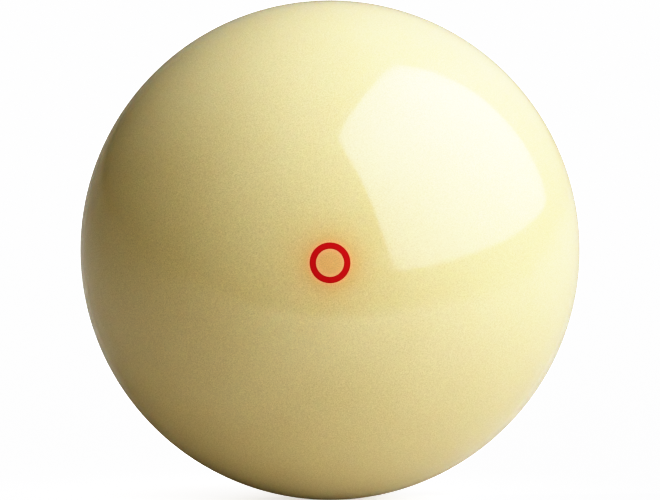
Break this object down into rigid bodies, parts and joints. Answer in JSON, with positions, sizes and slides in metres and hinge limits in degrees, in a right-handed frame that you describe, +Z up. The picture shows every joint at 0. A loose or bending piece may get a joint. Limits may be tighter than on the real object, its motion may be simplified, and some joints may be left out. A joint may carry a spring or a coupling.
{
  "type": "cue ball",
  "caption": "Solid cast-resin cue ball for a pool table, ivory with a thin red ring let into its face.",
  "frame": {"origin": "the ball's centre", "axes": "-Y through the middle of the red ring, which faces -Y; +Z up; +X to the right of a viewer who faces the ring"},
  "size_m": [0.0572, 0.0572, 0.0572],
  "materials": {
    "ivory_resin": "polished cast phenolic resin, warm ivory, faintly cloudy and slightly translucent",
    "red_resin": "polished cast phenolic resin, deep red, ground flush with the ivory"
  },
  "bodies": {
    "root": {"ball_body": "ivory_resin", "red_ring": "red_resin", "ring_core": "ivory_resin"}
  },
  "joints": []
}
